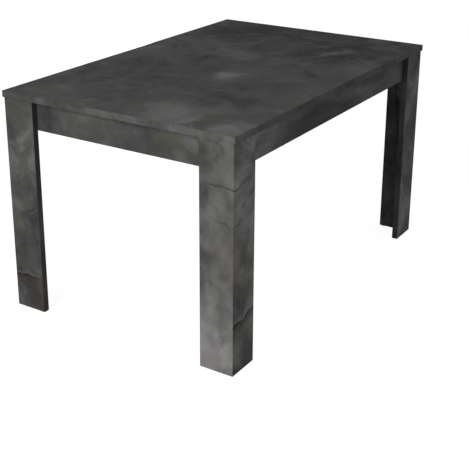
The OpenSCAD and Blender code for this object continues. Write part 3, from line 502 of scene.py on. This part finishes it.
# Ends a tree: its shape stands on every point given, turned the way that the point says
def standOnPoints(add, given, shape, material):
    turn = add("GeometryNodeInputNamedAttribute", {"Name": "turn"}, data_type="FLOAT_VECTOR")
    stood = add("GeometryNodeInstanceOnPoints", {"Points": given["Geometry"], "Instance": shape, "Rotation": turn})
    stood = add("GeometryNodeRealizeInstances", {"Geometry": stood})
    stood = add("GeometryNodeSetMaterial", {"Geometry": stood, "Material": material})
    add("NodeGroupOutput", {0: stood}, None)


# How many flat sides the round parts have; a thread's are those of one turn
turnedSides = {"head": 32, "shank": 20, "socket": 6, "thread": 20, "coarseThread": 24, "ridge": 3}
# The radii, depths and drops of a fastener, as shares of the sizes that its tree is given
fastenerShares = {
    "head": ("Head Diameter", 0.5), "headDrop": ("Head Height", -1.0), "core": ("Shank Diameter", 0.37),
    "ridge": ("Shank Diameter", 0.42), "wire": ("Shank Diameter", 0.08), "drop": ("Length", -1.0),
    "cut": ("Drive Depth", 2.0),
}
screwShares = {**fastenerShares, "point": ("Shank Diameter", 0.055), "bar": ("Drive Width", 0.22),
               "crossCut": ("Drive Depth", 1.9)}
boltShares = {**fastenerShares, "point": ("Shank Diameter", 0.32), "cap": ("Head Diameter", 0.46),
              "drive": ("Drive Width", 0.5)}
fastenerThreaded = 0.9  # the share of the shank that carries the thread


# A screw or bolt hangs down its own Z from the face of its head: head with its drive, shank, tip and thread
def fastenerTree(name, material, coneHead):
    tree, add, given = geometryTree(name, ["Head Diameter", "Head Height", "Shank Diameter", "Length", "Tip Length",
                                           "Drive Width", "Drive Depth", "Pitch"])
    size = {part: add("ShaderNodeMath", {0: given[whole], 1: share}, operation="MULTIPLY")
            for part, (whole, share) in (screwShares if coneHead else boltShares).items()}
    top, bottom = ("head", "core") if coneHead else ("cap", "head")
    head = add("GeometryNodeMeshCone", {"Vertices": turnedSides["head"], "Radius Top": size[top],
                                        "Radius Bottom": size[bottom], "Depth": given["Head Height"]}, "Mesh")
    drop = add("ShaderNodeCombineXYZ", {2: size["headDrop"]})
    head = add("GeometryNodeTransform", {"Geometry": head, "Translation": drop})
    if coneHead:
        drive = add("GeometryNodeMeshBoolean", operation="UNION", solver="EXACT", out=None)
        for x, y, z in ((given["Drive Width"], size["bar"], size["cut"]),
                        (size["bar"], given["Drive Width"], size["crossCut"])):
            bar = add("ShaderNodeCombineXYZ", {0: x, 1: y, 2: z})
            tree.links.new(add("GeometryNodeMeshCube", {"Size": bar}, "Mesh"), drive.inputs["Mesh 2"])
        drive = drive.outputs[0]
    else:
        drive = add("GeometryNodeMeshCylinder", {"Vertices": turnedSides["socket"], "Radius": size["drive"],
                                                 "Depth": size["cut"]}, "Mesh")
    head = add("GeometryNodeMeshBoolean", {"Mesh 1": head, "Mesh 2": drive}, operation="DIFFERENCE",
               solver="EXACT")
    shank = add("ShaderNodeMath", {0: given["Length"], 1: given["Head Height"]}, operation="SUBTRACT")
    shank = add("ShaderNodeMath", {0: shank, 1: given["Tip Length"]}, operation="SUBTRACT")
    middle = add("ShaderNodeMath", {0: shank, 1: -0.5, 2: size["headDrop"]}, operation="MULTIPLY_ADD")
    middle = add("ShaderNodeCombineXYZ", {2: middle})
    shaft = add("GeometryNodeMeshCylinder", {"Vertices": turnedSides["shank"], "Radius": size["core"],
                                             "Depth": shank}, "Mesh")
    shaft = add("GeometryNodeTransform", {"Geometry": shaft, "Translation": middle})
    tip = add("GeometryNodeMeshCone", {"Vertices": turnedSides["shank"], "Radius Top": size["core"],
                                       "Radius Bottom": size["point"], "Depth": given["Tip Length"]}, "Mesh")
    drop = add("ShaderNodeCombineXYZ", {2: size["drop"]})
    tip = add("GeometryNodeTransform", {"Geometry": tip, "Translation": drop})
    threaded = add("ShaderNodeMath", {0: shank, 1: fastenerThreaded}, operation="MULTIPLY")
    turns = add("ShaderNodeMath", {0: threaded, 1: given["Pitch"]}, operation="DIVIDE")
    spiral = add("GeometryNodeCurveSpiral", {"Resolution": turnedSides["thread"], "Rotations": turns,
                                             "Start Radius": size["ridge"], "End Radius": size["ridge"],
                                             "Height": threaded})
    ridge = add("GeometryNodeCurvePrimitiveCircle", {"Resolution": turnedSides["ridge"], "Radius": size["wire"]})
    thread = add("GeometryNodeCurveToMesh", {"Curve": spiral, "Profile Curve": ridge, "Fill Caps": True})
    drop = add("ShaderNodeMath", {0: given["Tip Length"], 1: given["Length"]}, operation="SUBTRACT")
    drop = add("ShaderNodeCombineXYZ", {2: drop})
    thread = add("GeometryNodeTransform", {"Geometry": thread, "Translation": drop})
    whole = add("GeometryNodeJoinGeometry", out=None)
    for part in (head, shaft, tip, thread):
        tree.links.new(part, whole.inputs[0])
    standOnPoints(add, given, whole.outputs[0], material)
    return tree


dowelDrawnIn = 0.18  # how much thinner a dowel's ends are, as a share of its radius


# A dowel hangs down its own Z: a fluted rod whose two ends are drawn in so that it starts into its hole
def dowelTree(name, material):
    tree, add, given = geometryTree(name, ["Diameter", "Length", "Flute Width", "Flute Depth", "Draw Length"])
    radius = add("ShaderNodeMath", {0: given["Diameter"], 1: 0.5}, operation="MULTIPLY")
    inner = add("ShaderNodeMath", {0: radius, 1: given["Flute Depth"]}, operation="SUBTRACT")
    girth = add("ShaderNodeMath", {0: given["Diameter"], 1: math.pi}, operation="MULTIPLY")
    flutes = add("ShaderNodeMath", {0: girth, 1: given["Flute Width"]}, operation="DIVIDE")
    section = add("GeometryNodeCurveStar", {"Points": flutes, "Inner Radius": inner, "Outer Radius": radius,
                                            "Twist": 0.0})
    rod = add("GeometryNodeCurvePrimitiveLine", {"Direction": (0, 0, -1), "Length": given["Length"]},
              mode="DIRECTION")
    steps = add("ShaderNodeMath", {0: given["Length"], 1: given["Draw Length"]}, operation="DIVIDE")
    rod = add("GeometryNodeResampleCurve", {"Curve": rod, "Count": steps})
    ends = add("GeometryNodeCurveEndpointSelection")
    girths = add("ShaderNodeMath", {0: ends, 1: -dowelDrawnIn, 2: 1.0}, operation="MULTIPLY_ADD")
    rod = add("GeometryNodeSetCurveRadius", {"Curve": rod, "Radius": girths})
    rod = add("GeometryNodeCurveToMesh", {"Curve": rod, "Profile Curve": section, "Fill Caps": True})
    standOnPoints(add, given, rod, material)
    return tree


# The radii, depths and drops of an insert, as shares of the sizes that its tree is given
insertShares = {"sleeve": ("Diameter", 0.44), "ridge": ("Diameter", 0.45), "wire": ("Diameter", 0.05),
                "bore": ("Bore", 0.5), "half": ("Length", -0.5), "deep": ("Length", 1.2),
                "threaded": ("Length", 0.86), "drop": ("Length", -0.93)}


# A threaded insert hangs down its own Z: a turned sleeve with a coarse thread outside for the board
def insertTree(name, material):
    tree, add, given = geometryTree(name, ["Diameter", "Length", "Bore", "Pitch"])
    size = {part: add("ShaderNodeMath", {0: given[whole], 1: share}, operation="MULTIPLY")
            for part, (whole, share) in insertShares.items()}
    sleeve = add("GeometryNodeMeshCylinder", {"Vertices": turnedSides["head"], "Radius": size["sleeve"],
                                              "Depth": given["Length"]}, "Mesh")
    bore = add("GeometryNodeMeshCylinder", {"Vertices": turnedSides["head"], "Radius": size["bore"],
                                            "Depth": size["deep"]}, "Mesh")
    sleeve = add("GeometryNodeMeshBoolean", {"Mesh 1": sleeve, "Mesh 2": bore}, operation="DIFFERENCE",
                 solver="EXACT")
    drop = add("ShaderNodeCombineXYZ", {2: size["half"]})
    sleeve = add("GeometryNodeTransform", {"Geometry": sleeve, "Translation": drop})
    turns = add("ShaderNodeMath", {0: size["threaded"], 1: given["Pitch"]}, operation="DIVIDE")
    spiral = add("GeometryNodeCurveSpiral", {"Resolution": turnedSides["coarseThread"], "Rotations": turns,
                                             "Start Radius": size["ridge"], "End Radius": size["ridge"],
                                             "Height": size["threaded"]})
    ridge = add("GeometryNodeCurvePrimitiveCircle", {"Resolution": turnedSides["ridge"], "Radius": size["wire"]})
    thread = add("GeometryNodeCurveToMesh", {"Curve": spiral, "Profile Curve": ridge, "Fill Caps": True})
    drop = add("ShaderNodeCombineXYZ", {2: size["drop"]})
    thread = add("GeometryNodeTransform", {"Geometry": thread, "Translation": drop})
    whole = add("GeometryNodeJoinGeometry", out=None)
    for part in (sleeve, thread):
        tree.links.new(part, whole.inputs[0])
    standOnPoints(add, given, whole.outputs[0], material)
    return tree


endDepth = 0.6 * mm  # the points of a solid that are as near as this to its end make up that end


# Where the solids of a node sit, found along the ways given: the middle of the wider end of each, the way to its
# other end, and its length and width in mm
def longPlaces(node, ways):
    places = []
    for low, high, points in islandBoxes(node):
        middle = (low + high) / 2
        spans = {way: sorted((p - middle).dot(Vector(way).normalized()) for p in points) for way in ways}
        way = max(ways, key=lambda w: spans[w][-1] - spans[w][0])
        axis = Vector(way).normalized()
        reach = {}
        for end in (spans[way][0], spans[way][-1]):
            near = [p - middle for p in points if abs((p - middle).dot(axis) - end) < endDepth]
            reach[end] = max((p - axis * p.dot(axis)).length for p in near)
        tipEnd, headEnd = sorted(reach, key=reach.get)
        width = 2 * max((p - middle - axis * (p - middle).dot(axis)).length for p in points)
        places.append((middle + axis * headEnd, axis * math.copysign(1.0, tipEnd - headEnd),
                       round(abs(tipEnd - headEnd) / mm, 1), round(width / mm, 1)))
    return places


straightWays = ((1, 0, 0), (0, 1, 0), (0, 0, 1))
mitreWays = straightWays + ((1, 1, 0), (1, -1, 0))  # the leg dowels lie across a mitre


# One piece for a node: the shape of the tree at each place of the node, in one run for each length and width
def growPiece(node, tree, sizes, ways=straightWays):
    places = longPlaces(node, ways)
    whole = bmesh.new()
    for length, width in sorted({place[2:] for place in places}):
        group = [place for place in places if place[2:] == (length, width)]
        mesh = bpy.data.meshes.new(node + "_points")
        mesh.from_pydata([tuple(place[0]) for place in group], [], [])
        turns = mesh.attributes.new("turn", "FLOAT_VECTOR", "POINT")
        for row, place in zip(turns.data, group):
            row.vector = tuple(Vector((0, 0, -1)).rotation_difference(place[1]).to_euler())
        holder = bpy.data.objects.new(node + "_holder", mesh)
        bpy.context.scene.collection.objects.link(holder)
        modifier = holder.modifiers.new("grown", "NODES")
        modifier.node_group = tree
        values = {"Length": length, "Diameter": width, **sizes}
        for item in tree.interface.items_tree:
            if item.in_out == "INPUT" and item.name in values:
                modifier[item.identifier] = float(values[item.name] * mm)
        made = bpy.data.meshes.new_from_object(holder.evaluated_get(bpy.context.evaluated_depsgraph_get()))
        whole.from_mesh(made)
        bpy.data.objects.remove(holder)
    grown = bpy.data.meshes.new(node + "_grown")
    whole.to_mesh(grown)
    whole.free()
    grown.materials.append(made.materials[0])
    print(node, "made:", len(places), "pieces,", len(grown.polygons), "faces")
    return placePiece(grown, node)


# What the trees are given, in mm; length, and the diameter of dowels and inserts, come from the node's own solids
woodScrew = {"Head Diameter": 7.0, "Head Height": 2.0, "Shank Diameter": 3.6, "Tip Length": 3.0,
             "Drive Width": 3.6, "Drive Depth": 1.0, "Pitch": 1.8}
slideScrew = dict(woodScrew, **{"Head Diameter": 6.0, "Head Height": 1.2, "Drive Depth": 0.8})
legBolt = {"Head Diameter": 13.0, "Head Height": 3.0, "Shank Diameter": 6.0, "Tip Length": 1.0,
           "Drive Width": 5.2, "Drive Depth": 2.0, "Pitch": 1.0}
legDowel = {"Flute Width": 1.3, "Flute Depth": 0.25, "Draw Length": 1.5}
legInsert = {"Bore": 6.1, "Pitch": 2.5}
screwTree = fastenerTree("cross_screw", zincPlate, True)
boltTree = fastenerTree("socket_bolt", zincPlate, False)
rodTree = dowelTree("fluted_dowel", wood["beech_turned"])
sleeveTree = insertTree("threaded_insert", metal["brass_turned"])
for node in ("frame_screws", "leaf_ledge_screws", "runner_tie_screws", "lock_strike_screws"):
    growPiece(node, screwTree, woodScrew)
for node in ("slide_outer_screws", "slide_inner_screws"):
    growPiece(node, screwTree, slideScrew)
for node in ("fixed_leg_bolts", "sliding_leg_bolts", "runner_bolts"):
    growPiece(node, boltTree, legBolt)
for side in ("fixed", "sliding"):
    growPiece(side + "_leg_dowels", rodTree, legDowel, mitreWays)
    growPiece(side + "_leg_inserts", sleeveTree, legInsert)


# Every node that keeps its shape gets its finish here: slide members and leaf ledges are galvanised, ball cages are
# pressed bright, and steel that is not named is zinc plated
keptFinish = {
    # the leg bands take the edge band cut, which is painted darker as shade
    "fixed_leg_edge_bands": slate["edge_band"], "sliding_leg_edge_bands": slate["edge_band"],
    "fixed_end_apron_edge_band": slate["end_apron"], "sliding_apron_edge_band": slate["end_apron"],
    "long_apron_edge_bands": slate["long_apron"],
    "fixed_leg_glides": nylon, "sliding_leg_glides": nylon, "leaf_pins": nylon, "leaf_pin_sockets": nylon,
    "top_cams": metal["zinc_die_cast"],
}
for name, piece in frame["nodes"].items():
    if not piece.hide_render:
        finish = metal["steel_galvanised_rolled"] if "_member" in name or name == "leaf_ledges" else zincPlate
        finish = metal["steel_pressed_bright"] if "ball_cage" in name else finish
        piece.data.materials.clear()
        piece.data.materials.append(keptFinish.get(name, finish))
print("kept nodes finished")


# The lens is shifted only so far that the table stays in the view from every side
cameraSet = {"place": (-2.99, -1.888, 1.673), "headingDeg": 33.086, "downDeg": 19.468, "lensMm": 77.86,
             "sensorMm": 36.0, "shiftX": 0.04, "shiftY": -0.16}
camera = bpy.data.objects.new("camera", bpy.data.cameras.new("camera"))
camera.data.lens = cameraSet["lensMm"]
camera.data.sensor_width = cameraSet["sensorMm"]
camera.data.shift_x = cameraSet["shiftX"]
camera.data.shift_y = cameraSet["shiftY"]
camera.location = cameraSet["place"]
camera.rotation_euler = (math.radians(90 - cameraSet["downDeg"]), 0, math.radians(cameraSet["headingDeg"] - 90))
bpy.context.scene.collection.objects.link(camera)
bpy.context.scene.camera = camera

# The key lamp lights the end faces most; the side lamp keeps the long side from going black, and the low rear lamp
# does the same for the two sides that face away
lamps = {
    "key": {"place": (-3.5, 0.1, 2.4), "size": 1.8, "power": 88},
    "side": {"place": (-0.9, -3.6, 1.7), "size": 2.4, "power": 25},
    "rear": {"place": (2.8, 2.6, 0.36), "size": 0.7, "power": 34},
}
lampAim = Vector((0, 0, 0.45))
for name, lamp in lamps.items():
    light = bpy.data.lights.new(name, "AREA")
    light.shape = "SQUARE"
    light.size = lamp["size"]
    light.energy = lamp["power"]
    lampObject = bpy.data.objects.new(name, light)
    lampObject.location = lamp["place"]
    lampObject.rotation_euler = (lampAim - Vector(lamp["place"])).to_track_quat("-Z", "Y").to_euler()
    bpy.context.scene.collection.objects.link(lampObject)

# Camera, mirror and glass rays see plain white; other rays get the paper and a softer sky
studio = {"sky": 0.4, "floorShow": 0.84, "floorGlow": 1.12, "floorHalf": 14.0, "paper": "#f4f4f4",
          "paperRoughness": 0.9}


def whiteForViewers(add):
    rays = add("ShaderNodeLightPath", out=None).outputs
    bright = add("ShaderNodeMath", {0: rays["Is Glossy Ray"], 1: rays["Is Transmission Ray"]}, operation="MAXIMUM")
    return add("ShaderNodeMath", {0: rays["Is Camera Ray"], 1: bright}, operation="MAXIMUM")


world = bpy.data.worlds.new("studio")
bpy.context.scene.world = world
world.use_nodes = True
world.node_tree.nodes.clear()
add = partial(addNode, world.node_tree)
strength = add("ShaderNodeMath", {0: whiteForViewers(add), 1: 1.0 - studio["sky"], 2: studio["sky"]},
               operation="MULTIPLY_ADD")
background = add("ShaderNodeBackground", {"Color": (1, 1, 1, 1), "Strength": strength})
add("ShaderNodeOutputWorld", {"Surface": background}, None)

half = studio["floorHalf"]
floorMesh = bpy.data.meshes.new("studio_floor")
floorMesh.from_pydata([(-half, -half, 0), (half, -half, 0), (half, half, 0), (-half, half, 0)], [], [(0, 1, 2, 3)])
paper, add, shader, links = startMaterial("studio_paper_matt", **{"Base Color": linear(studio["paper"]),
                                                                  "Roughness": studio["paperRoughness"]})
glow = add("ShaderNodeEmission", {"Color": (1, 1, 1, 1), "Strength": studio["floorGlow"]})
shown = add("ShaderNodeMath", {0: whiteForViewers(add), 1: studio["floorShow"]}, operation="MULTIPLY")
mixed = add("ShaderNodeMixShader", {0: shown, 1: shader.outputs[0], 2: glow})
links.new(mixed, paper.node_tree.nodes["Material Output"].inputs["Surface"])
floorMesh.materials.append(paper)
floor = bpy.data.objects.new("studio_floor", floorMesh)
bpy.context.scene.collection.objects.link(floor)
bpy.context.scene.view_settings.view_transform = "Standard"
print("stage set")
